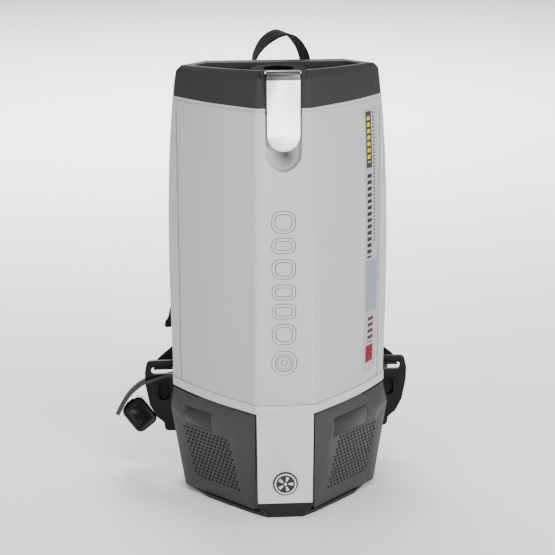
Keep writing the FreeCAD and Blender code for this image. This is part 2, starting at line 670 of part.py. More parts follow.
# The left belt hangs with its front edge higher than its rear edge.
LEFT_BELT_ACROSS = (0, 0.965, -0.262)
LEFT_BELT_PATH = [
    ((-137, 101, 124), LEFT_BELT_ACROSS, (0, 0.262, 0.965)),
    ((-160, 101, 119), LEFT_BELT_ACROSS, (-0.15, 0.262, 0.95)),
    ((-180, 101, 113), LEFT_BELT_ACROSS, (-0.5, 0.22, 0.84)),
    ((-199, 101, 96), LEFT_BELT_ACROSS, (-0.74, 0.17, 0.65)),
    ((-214, 101, 70), LEFT_BELT_ACROSS, (-0.85, 0.13, 0.5)),
]
RIGHT_BELT_PATH = [
    ((128, 100, 105), (0, 0, 1), (0.9, -1, 0)),
    ((150, 116, 105), (0, 0, 1), (1, -0.5, 0)),
    ((157, 142, 105), (0, 0, 1), (1, 0.2, 0)),
    ((138, 166, 105), (0, 0, 1), (0.6, 1, 0)),
    ((108, 176, 105), (0, 0, 1), (0.1, 1, 0)),
    ((80, 177, 105), (0, 0, 1), (0, 1, 0)),
]
CARRY_PATH = [
    ((-30, 76, 540), (0, 1, 0), (-1, 0, 0.1)),
    ((-29, 76, 548), (-0.35, 1, 0), (-1, -0.35, 0.2)),
    ((-25, 76, 561), (-0.6, 1, 0), (-1, -0.6, 0.6)),
    ((-12, 76, 578), (-0.6, 1, 0), (-0.8, -0.5, 1)),
    ((6, 76, 588.5), (-0.5, 1, 0), (0, 0, 1)),
    ((22, 76, 586), (-0.5, 1, 0), (0.5, 0.3, 1)),
    ((35, 76, 572), (-0.6, 1, 0), (1, 0.6, 0.6)),
    ((41, 76, 553), (-0.5, 1, 0), (1, 0.5, 0.2)),
    ((43, 76, 540), (0, 1, 0), (1, 0, 0)),
]


def strap_bracket():
    plate = box(-40, PLATE_Y, 500, 52, PLATE_Y + 4, 530)
    knuckles = [rod_x(76, 533, 5, x, x + 8) for x in (-22, 26)]
    arms = [box(x, PLATE_Y + 3, 528, x + 8, 76, 533) for x in (-22, 26)]
    bracket = fuse(plate, *arms, *knuckles)
    return bracket.cut(rod_x(76, 533, 2.5, -60, 60))


def strap_pin():
    return rod_x(76, 533, 2.45, -36, 49)


def carry_strap():
    strap = band(CARRY_PATH, 22, STRAP_T)
    ends = [rod_x(76, 533, 6.5, x, x + 5) for x in (-33, 41)]
    stubs = [box(x, 70, 533, x + 3, 82, 541) for x in (-32, 41.8)]
    strap = fuse(strap, *ends, *stubs)
    return strap.cut(rod_x(76, 533, 2.5, -60, 70))


LADDER_LOCK_AT = V(104, 111, 166)


def ladder_lock(side):
    frame = box(-28, -3, -11, 28, 3, 11).cut([box(-22, -6, -7.5, 22, 6, -2), box(-22, -6, 2, 22, 6, 7.5)])
    frame.rotate(V(0, 0, 0), V(1, 0, 0), 12)
    frame.rotate(V(0, 0, 0), V(0, 0, 1), -14)
    frame.translate(LADDER_LOCK_AT)
    return frame if side > 0 else mirrored(frame)


SWITCH_AT = V(-184, 101, 69)
SWITCH_TURN = ((V(0, 1, 0), -38.0), (V(1, 0, 0), -15.2))   # the switch hangs square to the belt


def hung(shape):
    """Turns a piece of the switch, modelled upright at the origin, to how it hangs from the belt."""
    for axis, degrees in SWITCH_TURN:
        shape.rotate(V(0, 0, 0), axis, degrees)
    shape.translate(SWITCH_AT)
    return shape


def switch_box():
    case = Part.makeBox(34, 44, 42, V(-17, -22, -21))
    case = case.makeFillet(9, [e for e in case.Edges if e.BoundBox.YLength > 40])
    case = case.makeFillet(3, [e for e in case.Edges if abs(e.BoundBox.YMin + 22) < 0.01 and
                               e.BoundBox.YMax < -21.9])
    clip = Part.makeBox(12, 30, 4.4, V(-6, -15, 18))
    case = fuse(case, clip)
    return hung(case.cut(Part.makeBox(13.6, 10, 23.6, V(-6.8, -26, -11.8))))


def rocker_switch():
    """A dished rocker that tips about a pin behind its middle, modelled in its off position."""
    profile = [V(-6.4, y, z) for y, z in
               ((-23.4, -11.2), (-21.6, 0), (-23.4, 11.2), (-19.5, 11.2), (-16.6, 0), (-19.5, -11.2))]
    rocker = Part.Face(Part.makePolygon(profile + profile[:1])).extrude(V(12.8, 0, 0))
    rocker.rotate(V(0, -19, 0), V(1, 0, 0), -6)
    return hung(rocker)


BUCKLE_AT = V(52, 177, 105)


def buckle_socket():
    body = box(-4, -22, -25, 4, 22, 25).cut(box(-6, -15, 12, 6, 15, 17))
    body = body.makeFillet(3, [e for e in body.Edges if e.BoundBox.XLength > 7.9 and abs(e.BoundBox.YMin) > 21])
    body = body.cut(box(-2.8, -16, -30, 2.8, 16, -2))
    body.rotate(V(0, 0, 0), V(0, 0, 1), 90)
    body.translate(BUCKLE_AT)
    return body


# ---------------------------------------------------------------- all the nodes
def main():
    os.makedirs("parts", exist_ok=True)
    save("canister", canister())
    save("motor_housing", motor_housing())
    save("base_plate", base_plate())
    save("base_screws", base_screws())
    save("housing_gasket", housing_gasket())
    save("front_badge", front_badge())
    save("cord_gland", cord_gland())
    for name, shape in motor_parts():
        save(name, shape)
    save("dome_filter", dome_filter())
    save("cloth_filter", cloth_filter())
    save("filter_bag", filter_bag())
    save("bag_collar", tube(PORT, 42, 24.2, 499, 503))
    save("exhaust_filter_right", exhaust_filter())
    save("exhaust_filter_left", mirrored(exhaust_filter()))
    save("exhaust_cover_right", exhaust_cover(TAB_RIGHT))
    save("exhaust_cover_left", mirrored(exhaust_cover(TAB_LEFT)))
    save("release_tab_right", release_tab(TAB_RIGHT))
    save("release_tab_left", mirrored(release_tab(TAB_LEFT)))
    save("cap_shell", cap_shell())
    save("cap_gasket", cap_gasket())
    save("swivel_cuff", swivel_cuff())
    save("cuff_ring", tube(PORT, 29, CUFF_NECK_R, 543.2, 546.3))
    save("latch_bracket", latch_bracket())
    save("latch_pin", rod_x(LATCH_PIVOT.y, LATCH_PIVOT.z, 2.0, -26.8, 26.8))
    save("latch_lever", latch_lever())
    save("latch_keeper", latch_keeper())
    save("backplate", backplate())
    save("backplate_screws", backplate_screws())
    save("back_pad", rounded_pad(60, PAD_Y, 88, 236, 430, 24))
    save("lumbar_pad", rounded_pad(112, PAD_Y, 92, 74, 192, 26))
    save("strap_bracket", strap_bracket())
    save("strap_pin", strap_pin())
    save("carry_strap", carry_strap())
    shoulder = band(SHOULDER_PATH, 58, 14)
    web = band(LOWER_WEB_PATH, 25, STRAP_T)
    save("shoulder_pad_right", shoulder)
    save("shoulder_pad_left", mirrored(shoulder))
    save("lower_webbing_right", web)
    save("lower_webbing_left", mirrored(web))
    save("ladder_lock_right", ladder_lock(1))
    save("ladder_lock_left", ladder_lock(-1))
    save("waist_belt_left", band(LEFT_BELT_PATH, 62, 6))
    save("waist_belt_right", band(RIGHT_BELT_PATH, 62, 6))
    save("buckle_socket", buckle_socket())
    save("switch_box", switch_box())
    save("rocker_switch", rocker_switch())


main()
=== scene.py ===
# %% [markdown]
# # A backpack vacuum cleaner, finished in Blender
# The machine's design arrives as a fixed frame: every rigid part is already at its real size and place.
# This lesson adds what the eye needs: rounded edges, moulded relief, padded fabric, webbing and finishes.

import json
import math

import bpy
from mathutils import Matrix, Vector

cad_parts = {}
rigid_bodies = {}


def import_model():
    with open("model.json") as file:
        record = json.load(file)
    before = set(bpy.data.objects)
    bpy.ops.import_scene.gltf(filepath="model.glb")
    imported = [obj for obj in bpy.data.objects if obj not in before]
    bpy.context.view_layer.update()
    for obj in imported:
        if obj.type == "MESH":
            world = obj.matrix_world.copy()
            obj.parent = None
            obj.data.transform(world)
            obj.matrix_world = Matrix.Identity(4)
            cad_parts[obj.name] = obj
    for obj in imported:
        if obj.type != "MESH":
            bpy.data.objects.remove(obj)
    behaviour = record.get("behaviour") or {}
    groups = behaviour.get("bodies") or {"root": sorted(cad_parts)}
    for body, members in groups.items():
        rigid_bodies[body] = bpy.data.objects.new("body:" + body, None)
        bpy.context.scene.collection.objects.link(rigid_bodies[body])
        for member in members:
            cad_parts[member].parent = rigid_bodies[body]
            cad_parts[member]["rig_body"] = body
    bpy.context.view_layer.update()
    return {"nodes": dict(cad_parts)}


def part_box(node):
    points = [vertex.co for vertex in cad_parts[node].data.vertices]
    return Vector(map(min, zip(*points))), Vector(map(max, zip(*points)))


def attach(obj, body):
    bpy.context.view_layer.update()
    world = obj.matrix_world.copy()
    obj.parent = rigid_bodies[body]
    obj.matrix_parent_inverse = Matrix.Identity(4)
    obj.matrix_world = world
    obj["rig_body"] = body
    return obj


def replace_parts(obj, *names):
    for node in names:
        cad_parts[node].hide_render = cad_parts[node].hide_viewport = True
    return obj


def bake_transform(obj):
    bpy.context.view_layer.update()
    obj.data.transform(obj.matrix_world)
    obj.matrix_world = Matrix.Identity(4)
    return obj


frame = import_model()
nodes = frame["nodes"]

# %% [markdown]
# ## Selecting with care
# An operator works on whatever is selected, and the loaded nodes are all selected.
# So each step starts by clearing the selection and picking only its own pieces.
# A second helper runs a block of work in edit mode, and a third applies a modifier straight away.

# %% Helpers for selection, edit mode and modifiers
def only(*pieces):
    if bpy.context.object and bpy.context.object.mode != "OBJECT":
        bpy.ops.object.mode_set(mode="OBJECT")
    bpy.ops.object.select_all(action="DESELECT")
    for piece in pieces:
        piece.select_set(True)
    bpy.context.view_layer.objects.active = pieces[0]


def edit(piece, *steps):
    """Runs the steps on the whole mesh in edit mode."""
    only(piece)
    bpy.ops.object.mode_set(mode="EDIT")
    bpy.ops.mesh.select_all(action="SELECT")
    for step in steps:
        step()
    bpy.ops.object.mode_set(mode="OBJECT")


def modify(piece, kind, **settings):
    """Adds a modifier, sets it and applies it."""
    only(piece)
    modifier = piece.modifiers.new(kind.lower(), kind)
    for key, value in settings.items():
        setattr(modifier, key, value)
    bpy.ops.object.modifier_apply(modifier=modifier.name)


def settle(piece, angle=32):
    """Puts the place into the mesh, turns the faces outwards and shades by angle."""
    only(piece)
    bpy.ops.object.transform_apply(location=True, rotation=True, scale=True)
    edit(piece, lambda: bpy.ops.mesh.normals_make_consistent(inside=False))
    bpy.ops.object.shade_smooth_by_angle(angle=math.radians(angle))
    return piece


# %% [markdown]
# ## Shader maths as Python
# A finish is easier to read as `mask * 0.2 + 0.4` than as a wall of nodes.
# The small class below wraps an output socket, and its operators add the Math nodes.
# Every other node comes from one method that takes its type, its settings and its socket values.

# %% Socket and Finish
class Socket:
    """An output socket that takes part in Python expressions."""

    def __init__(self, finish, socket):
        self.finish = finish
        self.socket = socket

    def maths(self, operation, other=None, flip=False):
        values = [self] if other is None else [other, self] if flip else [self, other]
        return self.finish.node("ShaderNodeMath", {"operation": operation}, dict(enumerate(values)))

    def __add__(self, other):
        return self.maths("ADD", other)

    def __sub__(self, other):
        return self.maths("SUBTRACT", other)

    def __rsub__(self, other):
        return self.maths("SUBTRACT", other, flip=True)

    def __mul__(self, other):
        return self.maths("MULTIPLY", other)

    def __gt__(self, other):
        return self.maths("GREATER_THAN", other)

    def __lt__(self, other):
        return self.maths("LESS_THAN", other)


class Finish:
    """A material with one Principled shader."""

    def __init__(self, name, **constants):
        self.material = bpy.data.materials.new(name)
        self.material.use_nodes = True
        self.tree = self.material.node_tree
        self.shader = self.tree.nodes["Principled BSDF"]
        for key, value in constants.items():
            self.shader.inputs[key.replace("_", " ")].default_value = value

    def feed(self, socket, value):
        if isinstance(value, Socket):
            self.tree.links.new(value.socket, socket)
        elif value is not None:
            socket.default_value = value

    def node(self, kind, settings=None, inputs=None, out=0):
        made = self.tree.nodes.new(kind)
        for key, value in (settings or {}).items():
            setattr(made, key, value)
        for key, value in (inputs or {}).items():
            self.feed(made.inputs[key], value)
        return Socket(self, made.outputs[out])

    def mix(self, amount, first, second):
        """A colour between two others."""
        return self.node("ShaderNodeMix", {"data_type": "RGBA"}, {0: amount, 6: first, 7: second}, out=2)

    def noise(self, place, scale, detail=2.0, **more):
        """A noise value from 0 to 1 at a place."""
        inputs = {"Vector": place, "Scale": scale, "Detail": detail}
        return self.node("ShaderNodeTexNoise", None, {**inputs, **more})

    def bump(self, strength, distance, height):
        inputs = {"Strength": strength, "Distance": distance, "Height": height}
        return self.node("ShaderNodeBump", None, inputs)

    def split(self, place):
        """The X, Y and Z of a place."""
        node = self.node("ShaderNodeSeparateXYZ", None, {0: place}).socket.node
        return [Socket(self, node.outputs[axis]) for axis in "XYZ"]

    def set(self, **links):
        for key, value in links.items():
            self.feed(self.shader.inputs[key.replace("_", " ")], value)
        return self.material


def tone(value, warmth=0.0):
    """A grey from 0 to 1, a little warmer or cooler."""
    return (value * (1 + warmth), value, value * (1 - warmth), 1.0)


# %% [markdown]
# ## Moulded plastic
# The grey canister, the dark covers and the black backplate are all injection mouldings.
# A mould gives plastic a fine spark-eroded grain, a slow drift in tone, and a few polished rub marks.
# One function makes them all: the grain goes to a bump, the drift to colour and roughness.

# %% The moulded finish
# The constants below place a painted shade on the floor of the hollow under the latch's tip.
HOLLOW_HALF = 0.0225      # half the width of the hollow under the latch's tip
HOLLOW_FOOT = 0.44        # its lower end
HOLLOW_DEPTH = (-0.1125, -0.09)
DARKEST = (0.003, 0.463)  # X and Z of the darkest spot
FADE = 42.0               # how fast the darkness fades, per metre
FAINTEST = 0.12


def latch_hollow_shade(finish, place):
    """A mask for painted shade on the floor of the hollow under the latch's tip, darkest in the middle."""
    x, y, z = finish.split(place)
    aside = x - DARKEST[0]
    below = z - DARKEST[1]
    distance = (aside * aside + below * below).maths("SQRT")
    deep = (y > HOLLOW_DEPTH[0]) * (y < HOLLOW_DEPTH[1])
    within = deep * (x > -HOLLOW_HALF) * (x < HOLLOW_HALF) * (z > HOLLOW_FOOT)
    return within * (1.0 - distance * FADE).maths("MAXIMUM", FAINTEST)


def moulded(name, value, roughness, warmth=0.0, drift=0.06, grain=0.0009, depth=0.12, shine=0.5, painted_shade=None):
    """Value is the grey, drift its change from place to place, and grain the texture's size in metres."""
    finish = Finish(name, Specular_IOR_Level=shine)
    place = finish.node("ShaderNodeTexCoord", out="Object")
    cloud = finish.noise(place, 7.0, 4.0)
    rub = finish.noise(place, 45.0, 6.0, Roughness=0.7)
    speck = finish.noise(place, 1 / grain, 1.0)
    darker = tone(value * (1 - drift), warmth)
    lighter = tone(value * (1 + drift), warmth)
    colour = finish.mix(cloud * 0.7 + rub * 0.3, darker, lighter)
    # Where the mask is high the colour turns near-black: painted shade, not a mark on the plastic.
    if painted_shade:
        colour = finish.mix(painted_shade(finish, place), colour, tone(0.02))
    polish = (rub > 0.66) * 0.05
    return finish.set(Base_Color=colour, Roughness=cloud * 0.1 + (roughness - 0.05) - polish,
                      Normal=finish.bump(depth, 0.0002, speck))


# The canister's grey carries a painted shade in the hollow under the latch's tip.
canister_grey = moulded("canister_grey", 0.40, 0.52, warmth=0.005, drift=0.025, painted_shade=latch_hollow_shade)
# A darker grey for the painted shadow frames under the facet's raised outlines.
painted_shadow_grey = moulded("painted_shadow_grey", 0.055, 0.6, drift=0.05, shine=0.2)
housing_grey = moulded("housing_grey", 0.44, 0.48, warmth=0.004, drift=0.02)
cover_grey = moulded("cover_grey", 0.038, 0.42, drift=0.10, shine=0.14)
tab_grey = moulded("tab_grey", 0.02, 0.36, drift=0.10, shine=0.2)
cap_grey = moulded("cap_grey", 0.030, 0.55, drift=0.12, shine=0.06)
base_black = moulded("base_black", 0.006, 0.5, warmth=0.03, drift=0.15, shine=0.25)
harness_black = moulded("harness_black", 0.003, 0.42, warmth=0.04, drift=0.15, shine=0.16)
gloss_black = moulded("gloss_black", 0.002, 0.2, drift=0.1, depth=0.02, shine=0.22)
cuff_black = moulded("cuff_black", 0.003, 0.75, drift=0.1, depth=0.05, shine=0.03)
soft_rubber = moulded("soft_rubber", 0.01, 0.7, drift=0.2, shine=0.2)
foam_dark = moulded("foam_dark", 0.004, 0.9, drift=0.3, grain=0.002, depth=0.6, shine=0.1)
print("moulded finishes ready")

# %% [markdown]
# ## Metals
# The latch is a strip of stainless steel, brushed along its length, so it looks almost white in soft light,
# and its top, where it bends over the cap, is painted a darker grey as painted shade.
# Stretching a noise a hundred times along one axis gives the brushed lines.
# Motor parts and screws use the same function with other values.

# %% The brushed finish
def brushed(name, colour, roughness, stretch=(900, 900, 6), line=0.06, shade_painted_above=None):
    finish = Finish(name, Metallic=1.0)
    place = finish.node("ShaderNodeTexCoord", out="Object")
    along = finish.node("ShaderNodeMapping", None, {"Vector": place, "Scale": stretch})
    streak = finish.noise(along, 1.0, 3.0)
    stain = finish.noise(place, 30.0, 3.0)
    dark = tuple(c * 0.9 for c in colour) + (1.0,)
    tint = finish.mix(streak, dark, colour + (1.0,))
    if shade_painted_above:
        height = finish.split(place)[2]
        # Above that height the steel is painted a dark grey, as painted shade on the bent top.
        tint = finish.mix(height > shade_painted_above, tint, tone(0.1))
    return finish.set(Base_Color=tint, Roughness=streak * 0.12 + stain * 0.08 + (roughness - 0.1),
                      Normal=finish.bump(line, 0.0001, streak))


# The latch's top above this height is painted darker, as painted shade.
LATCH_SHADE_HEIGHT = 0.5545  # height above which the latch bends over the cap and looks darker
latch_steel = brushed("latch_steel", (0.97, 0.97, 0.96), 0.3, shade_painted_above=LATCH_SHADE_HEIGHT)
keeper_steel = brushed("keeper_steel", (0.93, 0.93, 0.92), 0.34)
zinc = brushed("zinc", (0.62, 0.62, 0.63), 0.36, (300, 300, 300))
aluminium = brushed("aluminium", (0.78, 0.78, 0.79), 0.38, (200, 200, 200))
lamination = brushed("lamination", (0.32, 0.33, 0.34), 0.5, (20, 20, 1500), 0.3)
copper = brushed("copper", (0.72, 0.36, 0.2), 0.32, (60, 60, 900), 0.2)
print("metals ready")

# %% [markdown]
# ## Fabric, webbing and filter cloth
# Webbing has ribs across its width and a thread along it, and the pattern must follow each strap.
# The straps carry a UV map in metres, so the same rib is the same size on every strap.
# The padded pieces have no UV map after they are remeshed, so their weave reads object coordinates.

# %% Woven finishes
def waves(coordinate, pitch):
    """A smooth ripple from 0 to 1 along one coordinate."""
    return (coordinate * (2 * math.pi / pitch)).maths("SINE") * 0.5 + 0.5


def woven(name, value, source, pitch, relief, sheen=0.1, warmth=0.03, axes=("X", "Y")):
    finish = Finish(name, Sheen_Weight=sheen, Sheen_Roughness=0.5, Specular_IOR_Level=0.2)
    place = finish.node("ShaderNodeTexCoord", out=source)
    x, y, z = finish.split(place)
    across = {"X": x, "Y": y, "Z": z}
    warp = waves(across[axes[0]], pitch)
    weft = waves(across[axes[1]], pitch * 0.8)
    thread = warp * 0.45 + weft * 0.55
    fade = finish.noise(place, 25.0, 5.0)
    colour = finish.mix(thread * 0.6 + fade * 0.4, tone(value * 0.55, warmth), tone(value * 1.5, warmth))
    return finish.set(Base_Color=colour, Roughness=fade * 0.1 + 0.78,
                      Normal=finish.bump(relief, 0.0005, thread))


webbing_black = woven("webbing_black", 0.005, "UV", 0.0022, 0.8)
carry_webbing = woven("carry_webbing", 0.005, "UV", 0.0018, 0.7, sheen=0.02, warmth=0.12)
pad_fabric = woven("pad_fabric", 0.004, "Object", 0.0016, 0.6, axes=("X", "Z"))
belt_fabric = woven("belt_fabric", 0.006, "Object", 0.0016, 0.6, axes=("Y", "Z"))
edge_tape = woven("edge_tape", 0.035, "UV", 0.0022, 0.5)
filter_cloth = woven("filter_cloth", 0.6, "Object", 0.0012, 0.3, sheen=0.1, axes=("X", "Z"))
filter_paper = woven("filter_paper", 0.5, "Object", 0.004, 0.1, sheen=0.0, warmth=0.12, axes=("X", "Z"))
print("woven finishes ready")

# %% [markdown]
# ## The camera, the floor and the light
# The view looks a little down on the machine from slightly to its left, from about two metres away.
# A long lens keeps the sides nearly parallel. The floor is pale, and large soft lights surround the machine.

# %% Camera, floor and lights
EYE = Vector((-0.1343, -2.1734, 0.8588))
AIM = Vector((-0.005, -0.060, 0.2994))
ROLL = math.radians(-0.3)
LENS = 113.8
FLOOR_SIZE = 14
FLOOR_GAP = 0.0002   # the floor lies this far under the base
WORLD_STRENGTH = 0.6


def aimed(place, target):
    return (target - place).to_track_quat("-Z", "Y").to_matrix()


camera_data = bpy.data.cameras.new("camera")
camera_data.lens = LENS
camera = bpy.data.objects.new("camera", camera_data)
bpy.context.scene.collection.objects.link(camera)
camera.matrix_world = Matrix.Translation(EYE) @ (aimed(EYE, AIM) @ Matrix.Rotation(ROLL, 3, "Z")).to_4x4()
bpy.context.scene.camera = camera

only(camera)
bpy.ops.mesh.primitive_plane_add(size=FLOOR_SIZE, location=(0, 0, -FLOOR_GAP))
floor = bpy.context.object
floor.name = "floor"
pale = Finish("pale_floor", Roughness=0.8)
pale_place = pale.node("ShaderNodeTexCoord", out="Object")
pale_cloud = pale.noise(pale_place, 2.0)
floor.data.materials.append(pale.set(Base_Color=pale.mix(pale_cloud, tone(0.9), tone(0.94))))


def softbox(name, place, size, power, aim=(0.0, 0.0, 0.3)):
    data = bpy.data.lights.new(name, "AREA")
    data.shape = "DISK"
    data.size = size
    data.energy = power
    lamp = bpy.data.objects.new(name, data)
    bpy.context.scene.collection.objects.link(lamp)
    place = Vector(place)
    lamp.matrix_world = Matrix.Translation(place) @ aimed(place, Vector(aim)).to_4x4()


world = bpy.data.worlds.new("studio")
world.use_nodes = True
world.node_tree.nodes["Background"].inputs["Color"].default_value = (1, 1, 1, 1)
world.node_tree.nodes["Background"].inputs["Strength"].default_value = WORLD_STRENGTH
bpy.context.scene.world = world
softbox("key", (1.7, -2.7, 1.1), 1.1, 95)
softbox("fill", (-1.8, -2.4, 0.7), 1.6, 34)
softbox("top", (0.2, -1.6, 3.0), 1.8, 30)
softbox("low", (0.1, -1.6, 0.2), 0.62, 4.6, aim=(0.0, 0.0, 0.42))
softbox("rim", (-0.6, 2.6, 1.9), 1.8, 40)
softbox("distance", (0.0, 3.2, 2.6), 3.0, 330, aim=(0.0, 4.2, 0.0))
print("camera", [round(v, 3) for v in camera.location])

# %% [markdown]
# ## Softened mouldings
# The frame's meshes are exact and knife-edged, and no moulding has such edges.
# Each visible shell is copied, its doubles are merged, its flats are joined, and a bevel catches the light.
# The copy replaces its node on screen and rides on the same body.

# %% Shells with rounded edges
def finish_piece(piece, material, body):
    piece.data.materials.clear()
    piece.data.materials.append(material)
    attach(piece, body)
    return piece


FLAT = math.radians(0.3)    # faces closer than this are joined
SHARP = math.radians(28)    # edges sharper than this are rounded


def softened(node, material, edge, steps=2):
    """A copy of the node with merged points, joined flats and rounded edges, which replaces the node."""
    source = nodes[node]
    piece = bpy.data.objects.new(node + "_skin", source.data.copy())
    bpy.context.scene.collection.objects.link(piece)
    edit(piece, lambda: bpy.ops.mesh.remove_doubles(threshold=1e-5),
         lambda: bpy.ops.mesh.dissolve_limited(angle_limit=FLAT))
    modify(piece, "BEVEL", width=edge, segments=steps, limit_method="ANGLE", angle_limit=SHARP,
           use_clamp_overlap=True)
    only(piece)
    bpy.ops.object.shade_smooth_by_angle(angle=SHARP)
    finish_piece(piece, material, source["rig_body"])
    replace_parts(piece, node)
    return piece


canister = softened("canister", canister_grey, 0.0006)
softened("motor_housing", housing_grey, 0.0006)
softened("base_plate", base_black, 0.0008)
softened("cap_shell", cap_grey, 0.0011, 3)
softened("swivel_cuff", cuff_black, 0.0008)
softened("latch_lever", latch_steel, 0.0005)
softened("latch_bracket", cap_grey, 0.0003)
for side in ("right", "left"):
    softened("exhaust_cover_" + side, cover_grey, 0.0004)
    softened("release_tab_" + side, tab_grey, 0.0006)
    softened("ladder_lock_" + side, harness_black, 0.0006)
softened("backplate", harness_black, 0.0014, 3)
softened("strap_bracket", harness_black, 0.0008)
softened("switch_box", gloss_black, 0.0012, 3)
softened("rocker_switch", gloss_black, 0.0005)
softened("buckle_socket", harness_black, 0.0008)
softened("cord_gland", soft_rubber, 0.0005)
print("shells softened")

# %% [markdown]
# ## Parts that keep their frame mesh
# Filters, motor parts, pins and screws sit inside or show only a little.
# Their frame meshes are already right, so they only need their finishes.

# %% Finishes for the other nodes
FINISHES = {
    zinc: ["base_screws", "backplate_screws", "strap_pin", "latch_pin", "armature_shaft", "motor_bearings"],
    soft_rubber: ["housing_gasket", "cap_gasket", "motor_gasket", "motor_bush"],
    aluminium: ["motor_frame", "fan_housing", "impeller"],
    lamination: ["field_core", "armature_core"],
    copper: ["commutator"],
    base_black: ["motor_bulkhead", "carbon_brushes"],
    cuff_black: ["cuff_ring"],
    keeper_steel: ["latch_keeper"],
    filter_cloth: ["dome_filter", "cloth_filter"],
    foam_dark: ["exhaust_filter_right", "exhaust_filter_left"],
    filter_paper: ["filter_bag", "bag_collar"],
}
for material, names in FINISHES.items():
    for name in names:
        nodes[name].data.materials.clear()
        nodes[name].data.materials.append(material)
print("plain nodes finished")

# %% [markdown]
# ## Webbing
# A strap is a flat grid laid along a smooth path. Each station gives its centre and the way its width points.
# The stations are joined by a Catmull-Rom curve, so the strap bends without kinks.
# Its UV map is in metres, so the ribs of the weave are equally fine on every strap.

# %% Straps along a path
def catmull(values, t):
    """The smooth curve through the values, at t from 0 to 1."""
    last = len(values) - 1
    place = min(t * last, last - 1e-9)
    i = int(place)
    f = place - i
    p0, p1, p2, p3 = (values[min(max(i + k, 0), last)] for k in (-1, 0, 1, 2))
    return 0.5 * (2 * p1 + (p2 - p0) * f + (2 * p0 - 5 * p1 + 4 * p2 - p3) * f * f
                  + (3 * p1 - p0 - 3 * p2 + p3) * f * f * f)


def strap(name, stations, width, thick, steps=72, ribs=4, crown=0.0):
    """Stations are ((x, y, z), (across)) in millimetres; the strap's thickness is centred on them."""
    centres = [Vector(centre) / 1000 for centre, across in stations]
    sides = [Vector(across).normalized() for centre, across in stations]
    bpy.ops.object.select_all(action="DESELECT")
    bpy.ops.mesh.primitive_grid_add(x_subdivisions=steps, y_subdivisions=ribs, size=1)
    piece = bpy.context.object
    piece.name = name
    length = sum((b - a).length for a, b in zip(centres, centres[1:]))
    for vertex in piece.data.vertices:
        t = vertex.co.x + 0.5
        v = vertex.co.y
        side = catmull(sides, t).normalized()
        ahead = (catmull(centres, min(t + 0.01, 1)) - catmull(centres, max(t - 0.01, 0))).normalized()
        bulge = side.cross(ahead) * (crown * (0.25 - v * v) * 4)
        vertex.co = catmull(centres, t) + side * (v * width / 1000) + bulge
    for loop in piece.data.uv_layers.active.data:
        loop.uv = (loop.uv[0] * length, loop.uv[1] * width / 1000)
    modify(piece, "SOLIDIFY", thickness=thick / 1000, offset=0, use_even_offset=True)
    modify(piece, "BEVEL", width=min(0.0007, thick / 3000), segments=2, limit_method="ANGLE",
           angle_limit=math.radians(50))
    return settle(piece, 40)


CARRY_WIDTH = 22
CARRY_ENDS = {"left": -27, "right": 42.5}   # X of the strap's two ends, on one pin
CARRY = [((-27, 76, 533), (0, 1, 0)), ((-26.5, 76, 546), (-0.05, 1, 0)), ((-23, 76, 561), (-0.22, 1, 0.05)),
         ((-11, 76, 577.5), (-0.4, 1, 0.3)), ((7, 76, 587.6), (-0.62, 1, 0.3)),
         ((22, 76, 584), (-0.6, 1, 0.05)), ((34, 76, 570), (-0.62, 1, 0)),
         ((40.5, 76, 552), (-0.6, 1, 0)), ((42.5, 76, 533), (0, 1, 0))]
carry = strap("carry_band", CARRY, CARRY_WIDTH, 2.2, steps=110)
finish_piece(carry, carry_webbing, "carry_strap")
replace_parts(carry, "carry_strap")


def shifted(stations, distance):
    """The same path, moved sideways across the strap."""
    return [(tuple(Vector(centre) + Vector(across).normalized() * distance), across)
            for centre, across in stations]


for label, x in CARRY_ENDS.items():
    bpy.ops.object.select_all(action="DESELECT")
    bpy.ops.mesh.primitive_cylinder_add(vertices=48, radius=0.0065, depth=0.006, rotation=(0, math.pi / 2, 0),
                                        location=(x / 1000, 0.076, 0.533))
    ferrule = bpy.context.object
    ferrule.name = "strap_ferrule_" + label
    modify(ferrule, "BEVEL", width=0.0008, segments=3, limit_method="ANGLE", angle_limit=math.radians(50))
    finish_piece(settle(ferrule), harness_black, "carry_strap")
print("carry strap", [round(v * 1000) for v in carry.dimensions])

# %% [markdown]
# ## The lower straps and the wings' anchors
# The lower straps come from the ladder locks, cross behind the wings' top bars and pass through the upper
# slots.
# A second strap lies behind each lower slot and leads back to the waist belt, so that slot is dark.

# %% Lower webbing and belt anchors
def flipped(stations, side):
    return [((side * c[0], c[1], c[2]), (side * a[0], a[1], a[2])) for c, a in stations]


LOWER_WIDTH = 25
ANCHOR_WIDTH = 30
HEM_SHARE = 0.42   # where the lower strap's bound edge lies, as a share of its width from its middle
HEM_WIDTH = 2.4
HEM_THICK = 2.8
LOWER = [((112, 97, 172), (0.9, -0.15, 0.45)), ((131, 86, 161), (0.94, -0.1, 0.36)),
         ((147, 76, 150.5), (0.97, 0, 0.2)), ((150.5, 69.8, 144.8), (1, 0, 0)),
         ((150.5, 61, 144.5), (1, 0, 0))]
ANCHOR = [((163, 70.1, 112), (0, 0, 1)), ((146, 70.1, 112), (0, 0, 1)), ((131, 73, 112), (0, 0, 1)),
          ((121, 84, 110), (0, 0, 1)), ((124, 97, 108), (0, 0, 1))]
for name, side in (("right", 1), ("left", -1)):
    lower = strap("lower_band_" + name, flipped(LOWER, side), LOWER_WIDTH, 2.0, steps=48)
    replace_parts(finish_piece(lower, webbing_black, "pack"), "lower_webbing_" + name)
    anchor = strap("belt_anchor_" + name, flipped(ANCHOR, side), ANCHOR_WIDTH, 2.0, steps=40)
    finish_piece(anchor, webbing_black, "pack")
    hem_path = shifted(flipped(LOWER, side), HEM_SHARE * LOWER_WIDTH)
    hem = strap("slot_hem_" + name, hem_path, HEM_WIDTH, HEM_THICK, ribs=2)
    finish_piece(hem, webbing_black, "pack")
